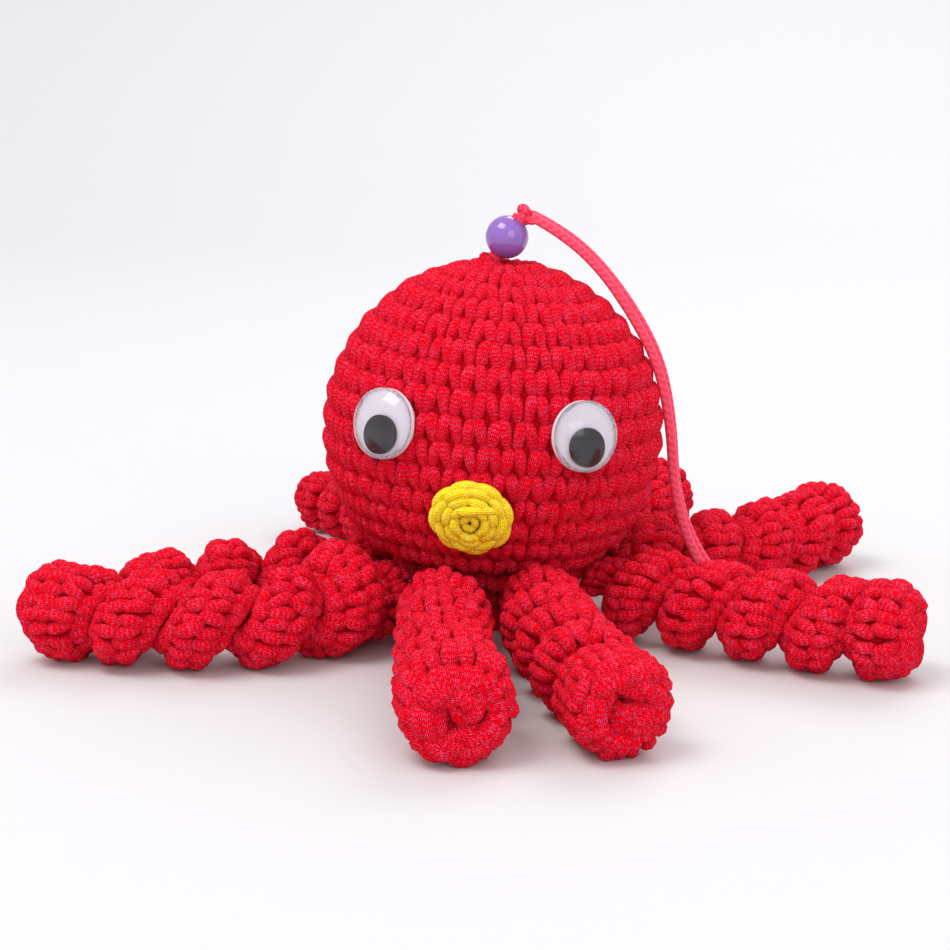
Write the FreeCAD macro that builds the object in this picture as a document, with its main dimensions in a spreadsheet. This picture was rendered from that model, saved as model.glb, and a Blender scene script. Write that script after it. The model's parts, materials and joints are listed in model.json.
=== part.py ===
"""Crocheted octopus hanging charm, as a parametric FreeCAD document.

The octopus lies on a flat surface with its eight curly tentacles spread out.
Frame: the origin is the centre of the flat under the base disc, +Z is up, and the
face looks along -Y, so +X is on the right of somebody who looks at the face.
All sizes are in millimetres and all driving sizes are in the sheet called sizes.
"""
import FreeCAD, Part
import math
import os
import Sketcher

Vector = FreeCAD.Vector
Rotation = FreeCAD.Rotation
Placement = FreeCAD.Placement
Z_AXIS = Vector(0, 0, 1)

# Driving sizes: alias, value in millimetres or degrees, and what it is.
SIZES = [
    ("head_radius", 30.0, "outside of the crocheted ball"),
    ("head_centre", 35.0, "height of the ball's centre above the surface"),
    ("shell_wall", 3.0, "thickness of the crochet fabric"),
    ("neck_height", 11.6, "height of the ball's open lower edge"),
    ("fit_gap", 0.3, "clearance between stuffing and fabric"),
    ("base_flat_radius", 11.0, "flat of the base disc where it stands"),
    ("base_radius", 17.4, "widest part of the base disc"),
    ("base_bulge_radius", 10.5, "curve of the base disc's side"),
    ("base_height", 10.4, "height of the base disc"),
    ("base_wall", 2.6, "thickness of the base disc's fabric"),
    ("round_inner_radius", 13.4, "inside of the joining round"),
    ("filling_top", 56.0, "flat top of the stuffing under the stopper knot"),
    ("cord_radius", 0.85, "one strand of the hanging cord"),
    ("stem_radius", 1.15, "the strands drawn together through the bead"),
    ("stem_hole_radius", 1.3, "hole for the strands at the top of the ball"),
    ("stem_tilt", 31.0, "lean of the bead and stem towards +X"),
    ("stem_bend_radius", 2.4, "bend of the stem where it leaves the ball"),
    ("knot_radius", 1.4, "knot above the bead"),
    ("knot_width", 4.4, "knot above the bead, along its axis"),
    ("stopper_radius", 2.7, "stopper knot inside the ball"),
    ("stopper_height", 4.2, "stopper knot inside the ball"),
    ("bead_radius", 3.8, "outside of the bead"),
    ("bead_bore_radius", 1.4, "bore of the bead"),
    ("bead_seat", 4.75, "bead centre above the top of the ball, along the stem"),
    ("knot_seat", 5.3, "knot centre above the bead centre, along the stem"),
    ("eye_radius", 6.0, "outside of an eye"),
    ("eye_back_wall", 0.8, "thickness of an eye's white back"),
    ("eye_glue_radius", 5.6, "glue pad behind an eye"),
    ("eye_glue_wall", 0.25, "glue pad at its thinnest"),
    ("dome_wall", 0.4, "thickness of an eye's clear dome"),
    ("dome_lip", 0.7, "straight lip of the clear dome"),
    ("dome_height", 3.1, "height of the clear dome"),
    ("pupil_radius", 3.3, "loose pupil"),
    ("pupil_wall", 0.7, "thickness of a pupil"),
    ("pupil_offset", 1.85, "how far the pupil drops below the eye's centre"),
    ("pupil_gap", 0.2, "play between the pupil and the eye's back"),
    ("mouth_radius", 5.9, "disc of the mouth inside its scallops"),
    ("mouth_lobe_radius", 1.9, "one scallop of the mouth"),
    ("mouth_lobe_circle", 5.25, "circle through the scallops' centres"),
    ("mouth_lobe_height", 2.3, "thickness of the scallops"),
    ("mouth_height", 3.4, "thickness of the mouth at its centre"),
    ("mouth_seam_radius", 5.0, "sewing yarn pad behind the mouth"),
    ("mouth_seam_wall", 0.2, "sewing yarn pad at its thinnest"),
    ("tentacle_pivot_circle", 21.5, "circle through the tentacle roots"),
    ("tentacle_pivot_height", 8.5, "height of the tentacle roots"),
    ("root_lobe_radius", 3.2, "tentacle where it is crocheted on"),
    ("neck_lobe_radius", 4.6, "tentacle just outside its root"),
    ("first_lobe_radius", 6.9, "first curl of a tentacle"),
    ("curl_radius", 8.15, "full curls of a tentacle"),
    ("slim_curl_radius", 7.7, "full curls of the left rear tentacle"),
    ("thin_curl_radius", 6.4, "outer curls of the rear left tentacle"),
    ("thin_tip_radius", 5.3, "last curl of the rear left tentacle"),
]
MOUTH_LOBES = 9
EYES = {"eye_left": (-33.4, 9.7), "eye_right": (33.4, 6.5)}
MOUTH_BEARING = (-3.8, -18.2)

# Each tentacle: bearing of its root about +Z in degrees, the point its curve bends
# towards, the centre of its last curl, and the sheet's names for its last five curls.
FULL = ["first_lobe_radius", "curl_radius", "curl_radius", "curl_radius", "curl_radius"]
SLIM = ["first_lobe_radius"] + ["slim_curl_radius"] * 4
TAPERED = ["first_lobe_radius", "slim_curl_radius", "slim_curl_radius",
           "thin_curl_radius", "thin_tip_radius"]
TENTACLES = {
    "tentacle_front_left": (252, (-6.0, -46.0), (-0.8, -78.0), FULL),
    "tentacle_front_right": (295, (12.0, -45.0), (23.0, -74.5), FULL),
    "tentacle_right_front": (335, (40.0, -25.0), (66.0, -34.5), FULL),
    "tentacle_right_rear": (20, (43.0, 10.0), (62.0, 41.0), FULL),
    "tentacle_rear_right": (65, (17.0, 42.0), (29.0, 60.5), FULL),
    "tentacle_rear_left": (115, (-22.0, 42.0), (-39.4, 64.2), TAPERED),
    "tentacle_left_rear": (165, (-38.0, -1.5), (-57.0, -19.0), SLIM),
    "tentacle_left_front": (214, (-28.0, -46.0), (-69.6, -32.9), FULL),
}

# The hanging cord from the knot, down the head's right side, round its free end on
# the surface and back up to the knot.
CORD_ROUTE = [
    (6.7, -1.2, 72.8), (12.0, -0.9, 69.9), (18.8, -0.6, 63.9), (25.0, -0.4, 55.0), (29.5, -0.2, 46.3),
    (31.7, 0.2, 35.6), (32.4, 0.6, 24.8), (35.0, 0.3, 14.6), (40.5, -0.8, 5.8), (48.0, -2.2, 1.1),
    (55.4, -4.6, 0.95), (62.2, -6.8, 0.95), (69.0, -5.0, 0.95), (73.2, 0.6, 0.95), (70.6, 7.0, 0.95),
    (63.8, 9.2, 0.95), (56.4, 6.2, 0.95), (49.2, 2.6, 1.1), (41.4, 1.9, 6.2), (35.5, 2.8, 14.8),
    (32.7, 3.1, 24.9), (32.1, 2.7, 35.8), (30.0, 2.2, 46.8), (25.3, 1.9, 55.9), (18.8, 1.7, 64.6),
    (12.0, 1.5, 70.4), (6.7, 1.2, 73.0),
]

doc = FreeCAD.newDocument("crochet_octopus")
sheet = doc.addObject("Spreadsheet::Sheet", "sizes")
for row, (alias, value, meaning) in enumerate(SIZES, start=1):
    sheet.set("A%d" % row, alias)
    sheet.set("B%d" % row, str(value))
    sheet.setAlias("B%d" % row, alias)
    sheet.set("C%d" % row, meaning)
doc.recompute()

parts = []


def size(alias):
    """A driving size from the sheet."""
    return float(sheet.get(alias))


def named(formula):
    """An expression in the sheet's aliases, with each alias given its sheet."""
    for alias, _, _ in sorted(SIZES, key=lambda entry: -len(entry[0])):
        formula = formula.replace("<" + alias + ">", "sizes." + alias)
    return formula


def worked_out(formula):
    """The number that such an expression stands for."""
    return float(sheet.evalExpression(named(formula).replace("sizes.", "")))


def keep(part, name):
    """Give a finished sub-part its name and put it on the list to be written."""
    part.Label = name
    parts.append(part)
    return part


def origin_plane(body, role):
    return next(item for item in body.Origin.OriginFeatures if item.Role == role)


def new_sketch(body, name, role):
    sketch = body.newObject("Sketcher::SketchObject", name)
    sketch.AttachmentSupport = (origin_plane(body, role), [""])
    sketch.MapMode = "FlatFace"
    return sketch


def arc_between(start, end, radius, side):
    """Arc of this radius on the side from start to end, bulging left (+1) or right (-1).

    A sketch's arcs run anticlockwise, so one that bulges to the left is drawn backwards.
    """
    chord = end - start
    middle = (start + end) * 0.5
    left = Vector(-chord.y, chord.x, 0).normalize()
    rise = math.sqrt(max(radius ** 2 - (chord.Length / 2) ** 2, 0))
    centre = middle - left * side * rise
    crown = centre + left * side * radius
    if side > 0:
        return Part.Arc(end, crown, start)
    return Part.Arc(start, crown, end)


def draw_outline(sketch, corners, bends):
    """Closed outline through corners given as pairs of formulas.

    bends maps the number of a side to (radius formula, +1 or -1): that side is an arc.
    Every corner is held by two dimensions and every arc by its radius, all from the sheet.
    """
    points = [Vector(worked_out(across), worked_out(up), 0) for across, up in corners]
    for index, start in enumerate(points):
        end = points[(index + 1) % len(points)]
        if index in bends:
            formula, side = bends[index]
            sketch.addGeometry(arc_between(start, end, worked_out(formula), side))
        else:
            sketch.addGeometry(Part.LineSegment(start, end))
    for index, start in enumerate(points):
        end_side = end_of(sketch, index, points[(index + 1) % len(points)])
        following = (index + 1) % len(points)
        start_side = end_of(sketch, following, points[following])
        sketch.addConstraint(Sketcher.Constraint(
            "Coincident", index, end_side, following, start_side))
    for index, (across, up) in enumerate(corners):
        side = end_of(sketch, index, points[index])
        hold_corner(sketch, index, side, "DistanceX", across, points[index].x)
        hold_corner(sketch, index, side, "DistanceY", up, points[index].y)
    for index, (formula, _) in bends.items():
        number = sketch.addConstraint(
            Sketcher.Constraint("Radius", index, worked_out(formula)))
        sketch.setExpression("Constraints[%d]" % number, named(formula))


def end_of(sketch, index, point):
    """1 if the side starts at the point, 2 if it ends there."""
    geometry = sketch.Geometry[index]
    return 1 if geometry.StartPoint.distanceToPoint(point) < 1e-6 else 2


def hold_corner(sketch, index, side, kind, formula, value):
    """Tie one coordinate of a corner to the sheet, or to the axis where it is zero."""
    if abs(value) < 1e-9:
        axis = -2 if kind == "DistanceX" else -1
        sketch.addConstraint(Sketcher.Constraint("PointOnObject", index, side, axis))
        return
    number = sketch.addConstraint(
        Sketcher.Constraint(kind, -1, 1, index, side, value))
    sketch.setExpression("Constraints[%d]" % number, named(formula))


def turned_body(name, corners, bends, placement=None):
    """A body turned about its own Z axis from a closed outline in its XZ plane."""
    body = doc.addObject("PartDesign::Body", name)
    sketch = new_sketch(body, name + "_outline", "XZ_Plane")
    draw_outline(sketch, corners, bends)
    turn = body.newObject("PartDesign::Revolution", name + "_turn")
    turn.Profile = sketch
    turn.ReferenceAxis = (sketch, ["V_Axis"])
    turn.Angle = 360
    if placement is not None:
        body.Placement = placement
    return body


def on_head(bearing, lift):
    """Placement on the ball's surface: local +Z points out and local +Y points up."""
    turn = Rotation(Z_AXIS, bearing) * Rotation(Vector(1, 0, 0), 90 - lift)
    outward = turn.multVec(Z_AXIS)
    centre = Vector(0, 0, size("head_centre"))
    return Placement(centre + outward * size("head_radius"), turn)


def dome_radius(rim, rise):
    """Radius of a ball whose cap has this rim and this rise, as a formula."""
    return "((%s)^2 + (%s)^2) / (2 * (%s))" % (rim, rise, rise)


# ---------------------------------------------------------------- head and base
def make_head():
    outer = "<head_radius>"
    inner = "(<head_radius> - <shell_wall>)"
    drop = "(<head_centre> - <neck_height>)"
    hole = "<stem_hole_radius>"
    keep(turned_body("head_shell", [
        ("sqrt(%s^2 - %s^2)" % (outer, drop), "<neck_height>"),
        (hole, "<head_centre> + sqrt(%s^2 - %s^2)" % (outer, hole)),
        (hole, "<head_centre> + sqrt(%s^2 - %s^2)" % (inner, hole)),
        ("sqrt(%s^2 - %s^2)" % (inner, drop), "<neck_height>"),
    ], {0: (outer, -1), 2: (inner, 1)}), "head_shell")

    ball = "(<head_radius> - <shell_wall> - <fit_gap>)"
    waist = "(<round_inner_radius> - <fit_gap> - 1)"
    rise = "(<filling_top> - <head_centre>)"
    waist_up = "<head_centre> - sqrt(%s^2 - %s^2)" % (ball, waist)
    floor = "<base_wall> + <fit_gap>"
    keep(turned_body("head_filling", [
        ("0", floor),
        ("<base_flat_radius> - <fit_gap>", floor),
        (waist, "<base_wall> + <fit_gap> + 3"),
        (waist, waist_up),
        ("sqrt(%s^2 - %s^2)" % (ball, rise), "<filling_top>"),
        ("0", "<filling_top>"),
    ], {3: (ball, -1)}), "head_filling")


def make_base():
    inner_flat = "<base_flat_radius>"
    inner_side = "(<base_radius> - <base_wall> - 1.2)"
    keep(turned_body("base_disc", [
        ("0", "0"),
        (inner_flat, "0"),
        ("<base_radius>", "<base_height>"),
        (inner_side, "<base_height>"),
        (inner_side, "<base_wall> + 2.6"),
        (inner_flat, "<base_wall>"),
        ("0", "<base_wall>"),
    ], {1: ("<base_bulge_radius>", -1)}), "base_disc")

    keep(turned_body("joining_round", [
        ("<round_inner_radius>", "<base_height>"),
        ("<base_radius>", "<base_height>"),
        ("<base_radius>", "<neck_height>"),
        ("<round_inner_radius>", "<neck_height>"),
    ], {}), "joining_round")


# ---------------------------------------------------------------- cord and bead
def stem_direction():
    tilt = math.radians(size("stem_tilt"))
    return Vector(math.sin(tilt), 0, math.cos(tilt))


def head_top():
    return Vector(0, 0, size("head_centre") + size("head_radius"))


def along_stem(distance):
    return head_top() + stem_direction() * distance


def make_stem():
    """The strands from the stopper knot, out of the ball, through the bead to the knot."""
    body = doc.addObject("PartDesign::Body", "cord_stem")
    profile = new_sketch(body, "stem_section", "XY_Plane")
    profile.addGeometry(Part.Circle(Vector(0, 0, 0), Z_AXIS, size("stem_radius")))
    profile.addConstraint(Sketcher.Constraint("Coincident", 0, 3, -1, 1))
    number = profile.addConstraint(Sketcher.Constraint("Radius", 0, size("stem_radius")))
    profile.setExpression("Constraints[%d]" % number, "sizes.stem_radius")

    tilt = math.radians(size("stem_tilt"))
    bend = size("stem_bend_radius")
    setback = bend * math.tan(tilt / 2)
    start_height = stopper_top()
    straight = head_top().z - setback - start_height
    reach = size("bead_seat") + size("knot_seat") - size("knot_radius") + 0.4
    start = Vector(0, 0, 0)
    bend_start = Vector(0, straight, 0)
    centre = bend_start + Vector(bend, 0, 0)
    middle = centre + Vector(-math.cos(tilt / 2), math.sin(tilt / 2), 0) * bend
    bend_end = centre + Vector(-math.cos(tilt), math.sin(tilt), 0) * bend
    end = Vector(0, straight + setback, 0) + Vector(math.sin(tilt), math.cos(tilt), 0) * reach
    path = new_sketch(body, "stem_path", "XZ_Plane")
    path.addGeometry(Part.LineSegment(start, bend_start))
    path.addGeometry(Part.Arc(bend_start, middle, bend_end))
    path.addGeometry(Part.LineSegment(bend_end, end))
    pipe = body.newObject("PartDesign::AdditivePipe", "stem_sweep")
    pipe.Profile = profile
    pipe.Spine = path
    body.Placement = Placement(Vector(0, 0, start_height), Rotation())
    keep(body, "cord_stem")


def stopper_top():
    """The stopper knot sits just under the crochet at the top of the ball."""
    return head_top().z - size("shell_wall") - size("fit_gap")


def barrel(name, radius, height, placement):
    """A knot: a turned barrel with a small flat at each end."""
    flat = "(%s) / 2" % radius
    rise = "(%s) / 2" % radius
    bulge = dome_radius("(%s) / 2" % height, rise)
    return turned_body(name, [
        ("0", "0"), (flat, "0"), (flat, height), ("0", height),
    ], {1: (bulge, -1)}, placement)


def make_knots():
    lowest = stopper_top() - size("stopper_height")
    keep(barrel("stopper_knot", "<stopper_radius>", "<stopper_height>",
                Placement(Vector(0, 0, lowest), Rotation())), "stopper_knot")
    across = Rotation(Vector(1, 0, 0), 90)
    centre = along_stem(size("bead_seat") + size("knot_seat"))
    start = centre + Vector(0, size("knot_width") / 2, 0)
    keep(barrel("top_knot", "<knot_radius>", "<knot_width>",
                Placement(start, across)), "top_knot")


def make_bead():
    half = "sqrt(<bead_radius>^2 - <bead_bore_radius>^2)"
    lean = Rotation(Vector(0, 1, 0), size("stem_tilt"))
    seat = along_stem(size("bead_seat"))
    low = seat - stem_direction() * worked_out(half)
    keep(turned_body("bead", [
        ("<bead_bore_radius>", "0"),
        ("<bead_bore_radius>", "2 * %s" % half),
    ], {0: ("<bead_radius>", -1)}, Placement(low, lean)), "bead")


def tube_path(points):
    """Straight runs through the points, joined by tangent arcs as large as they allow."""
    corners = [Vector(*point) for point in points]
    edges = []
    radii = []
    here = corners[0]
    for before, corner, after in zip(corners, corners[1:], corners[2:]):
        back = (before - corner).normalize()
        ahead = (after - corner).normalize()
        half_turn = (math.pi - back.getAngle(ahead)) / 2
        shorter = min((before - corner).Length, (after - corner).Length)
        setback = 0.45 * shorter
        radius = setback / math.tan(half_turn)
        radii.append(radius)
        arc_start = corner + back * setback
        arc_end = corner + ahead * setback
        inward = (back + ahead).normalize()
        middle = corner + inward * (radius / math.cos(half_turn) - radius)
        edges.append(Part.LineSegment(here, arc_start).toShape())
        edges.append(Part.Arc(arc_start, middle, arc_end).toShape())
        here = arc_end
    edges.append(Part.LineSegment(here, corners[-1]).toShape())
    return Part.Wire(edges), radii


def make_hanging_cord():
    wire, radii = tube_path(CORD_ROUTE)
    heading = Vector(*CORD_ROUTE[1]) - Vector(*CORD_ROUTE[0])
    ring = Part.Circle(Vector(*CORD_ROUTE[0]), heading, size("cord_radius")).toShape()
    tube = wire.makePipeShell([Part.Wire([ring])], True, False)
    expected = math.pi * size("cord_radius") ** 2 * wire.Length
    print("hanging cord: length %.1f, volume %.1f, section times length %.1f"
          % (wire.Length, tube.Volume, expected))
    print("hanging cord radii:", ", ".join("%.1f" % radius for radius in radii))
    if abs(tube.Volume / expected - 1) > 0.01:
        raise ValueError("the hanging cord's volume is wrong")
    cord = doc.addObject("Part::Feature", "hanging_cord")
    cord.Shape = tube
    cord.Placement = Placement()
    keep(cord, "hanging_cord")


# ---------------------------------------------------------------- face
def make_eye(name, bearing, lift):
    seat = on_head(bearing, lift)
    up = seat.Rotation.multVec(Vector(0, 1, 0))
    out = seat.Rotation.multVec(Z_AXIS)

    def raised(distance):
        return Placement(seat.Base + out * distance, seat.Rotation)

    # The pad fills the space between the round head and the flat back of the eye.
    sag = "(<head_radius> - sqrt(<head_radius>^2 - <eye_glue_radius>^2))"
    keep(turned_body(name + "_glue", [
        ("0", sag),
        ("<eye_glue_radius>", "0"),
        ("<eye_glue_radius>", sag + " + <eye_glue_wall>"),
        ("0", sag + " + <eye_glue_wall>"),
    ], {0: ("<head_radius>", 1)}, raised(-worked_out(sag))), name + "_glue")

    back = size("eye_glue_wall")
    keep(turned_body(name + "_back", [
        ("0", "0"),
        ("<eye_radius>", "0"),
        ("<eye_radius>", "<eye_back_wall>"),
        ("0", "<eye_back_wall>"),
    ], {}, raised(back)), name + "_back")

    face = back + size("eye_back_wall")
    rise = "<dome_height> - <dome_lip>"
    inner_rim = "<eye_radius> - <dome_wall>"
    keep(turned_body(name + "_dome", [
        (inner_rim, "0"),
        ("<eye_radius>", "0"),
        ("<eye_radius>", "<dome_lip>"),
        ("0", "<dome_height>"),
        ("0", "<dome_height> - <dome_wall>"),
        (inner_rim, "<dome_lip>"),
    ], {2: (dome_radius("<eye_radius>", rise), -1),
        4: (dome_radius(inner_rim, rise + " - <dome_wall>"), 1)},
        raised(face)), name + "_dome")

    drop = up * size("pupil_offset")
    pupil = raised(face + size("pupil_gap"))
    keep(turned_body(name + "_pupil", [
        ("0", "0"),
        ("<pupil_radius>", "0"),
        ("<pupil_radius>", "<pupil_wall>"),
        ("0", "<pupil_wall>"),
    ], {}, Placement(pupil.Base - drop, pupil.Rotation)), name + "_pupil")


def make_mouth():
    seat = on_head(*MOUTH_BEARING)
    out = seat.Rotation.multVec(Z_AXIS)
    sag = "(<head_radius> - sqrt(<head_radius>^2 - <mouth_seam_radius>^2))"
    keep(turned_body("mouth_sewing_yarn", [
        ("0", sag),
        ("<mouth_seam_radius>", "0"),
        ("<mouth_seam_radius>", sag + " + <mouth_seam_wall>"),
        ("0", sag + " + <mouth_seam_wall>"),
    ], {0: ("<head_radius>", 1)},
        Placement(seat.Base - out * worked_out(sag), seat.Rotation)), "mouth_sewing_yarn")

    body = turned_body("mouth_rosette", [
        ("0", "0"),
        ("<mouth_radius>", "0"),
        ("<mouth_radius>", "<mouth_lobe_height>"),
        ("0", "<mouth_height>"),
    ], {2: (dome_radius("<mouth_radius>", "<mouth_height> - <mouth_lobe_height>"), -1)},
        Placement(seat.Base + out * size("mouth_seam_wall"), seat.Rotation))
    sketch = new_sketch(body, "scallop_outline", "XY_Plane")
    circle = size("mouth_lobe_circle")
    sketch.addGeometry(Part.Circle(Vector(circle, 0, 0), Z_AXIS, size("mouth_lobe_radius")))
    sketch.addConstraint(Sketcher.Constraint("PointOnObject", 0, 3, -1))
    across = sketch.addConstraint(Sketcher.Constraint("DistanceX", -1, 1, 0, 3, circle))
    sketch.setExpression("Constraints[%d]" % across, "sizes.mouth_lobe_circle")
    radius = sketch.addConstraint(
        Sketcher.Constraint("Radius", 0, size("mouth_lobe_radius")))
    sketch.setExpression("Constraints[%d]" % radius, "sizes.mouth_lobe_radius")
    scallop = body.newObject("PartDesign::Pad", "scallop")
    scallop.Profile = sketch
    scallop.setExpression("Length", "sizes.mouth_lobe_height")
    doc.recompute()
    pattern = body.newObject("PartDesign::PolarPattern", "scallops")
    pattern.Originals = [scallop]
    pattern.Axis = (sketch, ["N_Axis"])
    pattern.Angle = 360
    pattern.Occurrences = MOUTH_LOBES
    body.Tip = pattern
    keep(body, "mouth_rosette")


# ---------------------------------------------------------------- tentacles
def curve_point(root, bend, tip, part_way):
    """Point on the smooth curve from root to tip that is drawn towards bend."""
    other = 1 - part_way
    return root * other ** 2 + bend * (2 * other * part_way) + tip * part_way ** 2


def curve_stations(root, bend, tip, distances):
    """Part-way values at which the curve has run each of the given shares of its length."""
    steps = 400
    run = [0.0]
    last = root
    for step in range(1, steps + 1):
        here = curve_point(root, bend, tip, step / steps)
        run.append(run[-1] + (here - last).Length)
        last = here
    found = []
    for distance in distances:
        target = distance * run[-1]
        step = next(index for index, length in enumerate(run) if length >= target - 1e-9)
        found.append(step / steps)
    return found


# Shares of the curve's length at which the neck and the five curls are centred.
LOBE_SHARES = [0.0, 0.075, 0.18, 0.385, 0.59, 0.795, 1.0]


def make_tentacle(name, bearing, bend, tip, curls):
    angle = math.radians(bearing)
    circle = size("tentacle_pivot_circle")
    root = Vector(circle * math.cos(angle), circle * math.sin(angle), 0)
    stations = curve_stations(root, Vector(*bend, 0), Vector(*tip, 0), LOBE_SHARES)
    aliases = ["root_lobe_radius", "neck_lobe_radius"] + curls
    lobes = []
    for number, (station, alias) in enumerate(zip(stations, aliases)):
        centre = curve_point(root, Vector(*bend, 0), Vector(*tip, 0), station)
        ahead = curve_point(root, Vector(*bend, 0), Vector(*tip, 0), station + 0.01)
        resting = number > 2
        centre.z = size(alias) if resting else size("tentacle_pivot_height")
        lobe = doc.addObject("Part::Sphere", "%s_lobe_%d" % (name, number))
        lobe.setExpression("Radius", "sizes." + alias)
        heading = Vector(ahead.x - centre.x, ahead.y - centre.y, 0)
        lobe.Placement = Placement(centre, Rotation(Z_AXIS, heading))
        lobes.append(lobe)
    tentacle = doc.addObject("Part::MultiFuse", name)
    tentacle.Shapes = lobes
    keep(tentacle, name)


# ---------------------------------------------------------------- build and write
make_head()
make_base()
make_stem()
make_knots()
make_bead()
make_hanging_cord()
for eye, (eye_bearing, eye_lift) in EYES.items():
    make_eye(eye, eye_bearing, eye_lift)
make_mouth()
for tentacle_name, settings in TENTACLES.items():
    make_tentacle(tentacle_name, *settings)
doc.recompute()

for item in doc.Objects:
    if "Invalid" in item.State or "Error" in item.State:
        raise ValueError("%s did not build: %s" % (item.Name, item.State))
for part in parts:
    shape = part.Shape
    if shape.isNull() or not shape.isValid() or len(shape.Solids) != 1:
        raise ValueError("%s is not one valid solid" % part.Label)

os.makedirs("parts", exist_ok=True)
for part in parts:
    part.Shape.exportStep("parts/%s.step" % part.Label)
    box = part.Shape.BoundBox
    print("%-24s volume %8.1f  x %6.1f..%6.1f  y %6.1f..%6.1f  z %5.1f..%5.1f" % (
        part.Label, part.Shape.Volume, box.XMin, box.XMax, box.YMin, box.YMax,
        box.ZMin, box.ZMax))
print("sub-parts:", len(parts))
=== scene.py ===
import json
import math

import bpy
import numpy as np
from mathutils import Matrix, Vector


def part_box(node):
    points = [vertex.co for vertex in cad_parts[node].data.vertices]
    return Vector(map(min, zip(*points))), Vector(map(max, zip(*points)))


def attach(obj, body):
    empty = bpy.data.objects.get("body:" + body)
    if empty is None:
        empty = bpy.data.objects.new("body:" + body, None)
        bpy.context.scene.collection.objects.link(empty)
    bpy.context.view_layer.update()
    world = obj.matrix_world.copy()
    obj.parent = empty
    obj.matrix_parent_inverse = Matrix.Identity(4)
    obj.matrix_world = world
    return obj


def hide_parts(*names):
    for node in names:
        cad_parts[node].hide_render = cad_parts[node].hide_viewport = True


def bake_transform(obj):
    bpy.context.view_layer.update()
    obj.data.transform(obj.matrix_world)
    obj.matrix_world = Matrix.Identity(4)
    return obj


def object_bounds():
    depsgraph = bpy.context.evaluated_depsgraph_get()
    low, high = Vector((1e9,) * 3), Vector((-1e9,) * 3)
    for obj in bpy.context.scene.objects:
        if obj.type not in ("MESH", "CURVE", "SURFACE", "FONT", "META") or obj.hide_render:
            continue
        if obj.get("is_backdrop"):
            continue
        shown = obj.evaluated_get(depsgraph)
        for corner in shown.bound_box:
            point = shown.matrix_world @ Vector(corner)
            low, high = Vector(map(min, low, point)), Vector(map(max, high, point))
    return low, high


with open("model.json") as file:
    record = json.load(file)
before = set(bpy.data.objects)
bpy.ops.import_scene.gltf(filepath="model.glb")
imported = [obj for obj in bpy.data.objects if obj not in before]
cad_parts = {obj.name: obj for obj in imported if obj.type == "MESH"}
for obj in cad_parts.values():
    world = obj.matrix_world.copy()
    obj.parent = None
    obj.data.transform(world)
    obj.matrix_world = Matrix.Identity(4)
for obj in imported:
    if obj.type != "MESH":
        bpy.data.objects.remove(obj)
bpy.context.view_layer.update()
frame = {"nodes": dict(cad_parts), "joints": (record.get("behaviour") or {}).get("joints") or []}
scene = bpy.context.scene
scene.view_settings.view_transform = "Standard"
joints = {joint["name"]: joint for joint in frame["joints"]}
rng = np.random.default_rng(11)
MM = 0.001


def add_object(name, data):
    thing = bpy.data.objects.new(name, data)
    scene.collection.objects.link(thing)
    return thing


def aim(thing, target):
    away = thing.location - Vector(target)
    thing.rotation_euler = away.to_track_quat("Z", "Y").to_euler()


# ---------------------------------------------------------------- camera
camera = add_object("camera", bpy.data.cameras.new("camera"))
camera.location = (0.0241, -0.3905, 0.1094)
aim(camera, (-0.00319, -0.00022, 0.0262))
camera.data.lens = 84.2
camera.data.sensor_width = 36
camera.data.clip_start = 0.01
scene.camera = camera


# ---------------------------------------------------------------- node helpers
class Shader:
    """A material with a Principled shader, and short ways to feed it."""

    def __init__(self, name, **sockets):
        self.material = bpy.data.materials.new(name)
        self.material.use_nodes = True
        self.tree = self.material.node_tree
        self.surface = next(n for n in self.tree.nodes if n.type == "BSDF_PRINCIPLED")
        for socket, value in sockets.items():
            self.surface.inputs[socket.replace("_", " ")].default_value = value

    def put(self, socket, value):
        if isinstance(value, bpy.types.NodeSocket):
            self.tree.links.new(value, socket)
        elif value is not None:
            socket.default_value = value

    def node(self, kind, *inputs, **settings):
        made = self.tree.nodes.new(kind)
        for key, value in settings.items():
            setattr(made, key, value)
        for socket, value in zip(made.inputs, inputs):
            self.put(socket, value)
        return made

    def math(self, operation, *inputs):
        return self.node("ShaderNodeMath", *inputs, operation=operation).outputs[0]

    def noise(self, vector, scale, detail=2.0, roughness=0.5):
        made = self.node("ShaderNodeTexNoise")
        self.put(made.inputs["Vector"], vector)
        made.inputs["Scale"].default_value = scale
        made.inputs["Detail"].default_value = detail
        made.inputs["Roughness"].default_value = roughness
        return made.outputs["Fac"]

    def ramp(self, factor, *stops):
        made = self.node("ShaderNodeValToRGB", factor)
        elements = made.color_ramp.elements
        while len(elements) < len(stops):
            elements.new(0.5)
        for element, (place, colour) in zip(elements, stops):
            element.position = place
            element.color = (*colour, 1)
        return made.outputs[0]

    def bump(self, height, strength, distance):
        made = self.node("ShaderNodeBump")
        made.inputs["Strength"].default_value = strength
        made.inputs["Distance"].default_value = distance
        self.put(made.inputs["Height"], height)
        self.put(self.surface.inputs["Normal"], made.outputs[0])

    def feed(self, name, value):
        self.put(self.surface.inputs[name], value)


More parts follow.
